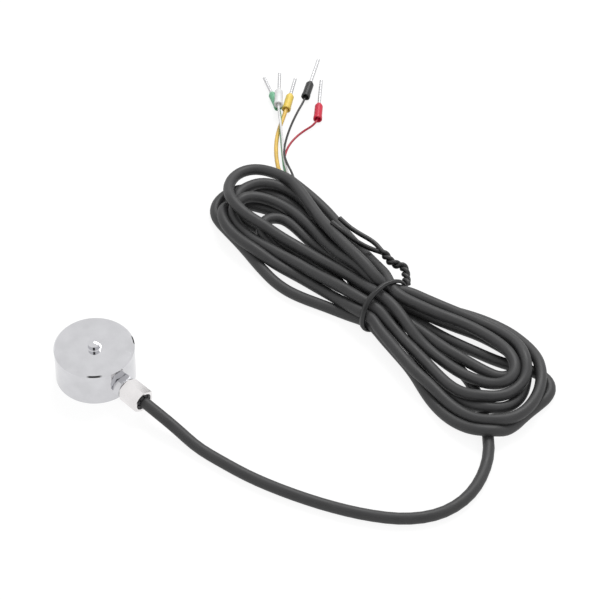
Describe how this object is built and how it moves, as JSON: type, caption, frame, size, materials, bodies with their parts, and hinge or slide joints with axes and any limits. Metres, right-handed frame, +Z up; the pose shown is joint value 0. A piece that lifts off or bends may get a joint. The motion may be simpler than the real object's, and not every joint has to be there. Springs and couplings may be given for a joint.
{
  "type": "button load cell",
  "caption": "Round polished button load cell with a domed load button, a side cable gland and a hank of tied black cable ending in coloured wires with crimped ferrules.",
  "frame": {"origin": "centre of the base face, on the axis of the body and of the button", "axes": "+Z up along the load axis, out of the button; +X out along the cable gland; the free cable lies on the plane of the base"},
  "size_m": [0.1422, 0.13, 0.0117],
  "materials": {
    "body_steel": "mirror polished",
    "cover_steel": "fine turned",
    "flange_steel": "polished",
    "nut_steel": "satin",
    "seal_rubber": "matte",
    "claw_plastic": "matte",
    "cable_jacket": "matte",
    "tie_plastic": "gloss",
    "pad_rubber": "matte",
    "board_laminate": "satin",
    "solder": "bright",
    "copper_wire": "bare copper",
    "resistor_body": "matte",
    "gauge_foil": "foil on a film backing",
    "tinned_copper": "tinned, crimped",
    "insulation_black": "smooth",
    "insulation_red": "smooth",
    "insulation_yellow": "smooth",
    "insulation_white": "smooth",
    "insulation_green": "smooth",
    "collar_black": "smooth",
    "collar_red": "smooth",
    "collar_yellow": "smooth",
    "collar_white": "smooth",
    "collar_green": "smooth"
  },
  "bodies": {
    "root": {"base_cover": "cover_steel", "board_pad": "pad_rubber", "body": "body_steel", "bridge_resistors": "resistor_body", "cable_hank": "cable_jacket", "cable_in_gland": "cable_jacket", "cable_lead": "cable_jacket", "core_black": "insulation_black", "core_green": "insulation_green", "core_red": "insulation_red", "core_white": "insulation_white", "core_yellow": "insulation_yellow", "ferrule_collar_black": "collar_black", "ferrule_collar_green": "collar_green", "ferrule_collar_red": "collar_red", "ferrule_collar_white": "collar_white", "ferrule_collar_yellow": "collar_yellow", "ferrule_pin_black": "tinned_copper", "ferrule_pin_green": "tinned_copper", "ferrule_pin_red": "tinned_copper", "ferrule_pin_white": "tinned_copper", "ferrule_pin_yellow": "tinned_copper", "gauge_jumpers": "copper_wire", "gland_claws": "claw_plastic", "gland_fitting": "flange_steel", "gland_nut": "nut_steel", "gland_seal": "seal_rubber", "solder_joints": "solder", "strain_gauge_1": "gauge_foil", "strain_gauge_2": "gauge_foil", "strain_gauge_3": "gauge_foil", "strain_gauge_4": "gauge_foil", "terminal_board": "board_laminate", "twist_tie": "tie_plastic", "wire_black": "insulation_black", "wire_green": "insulation_green", "wire_red": "insulation_red", "wire_white": "insulation_white", "wire_yellow": "insulation_yellow"}
  },
  "joints": []
}
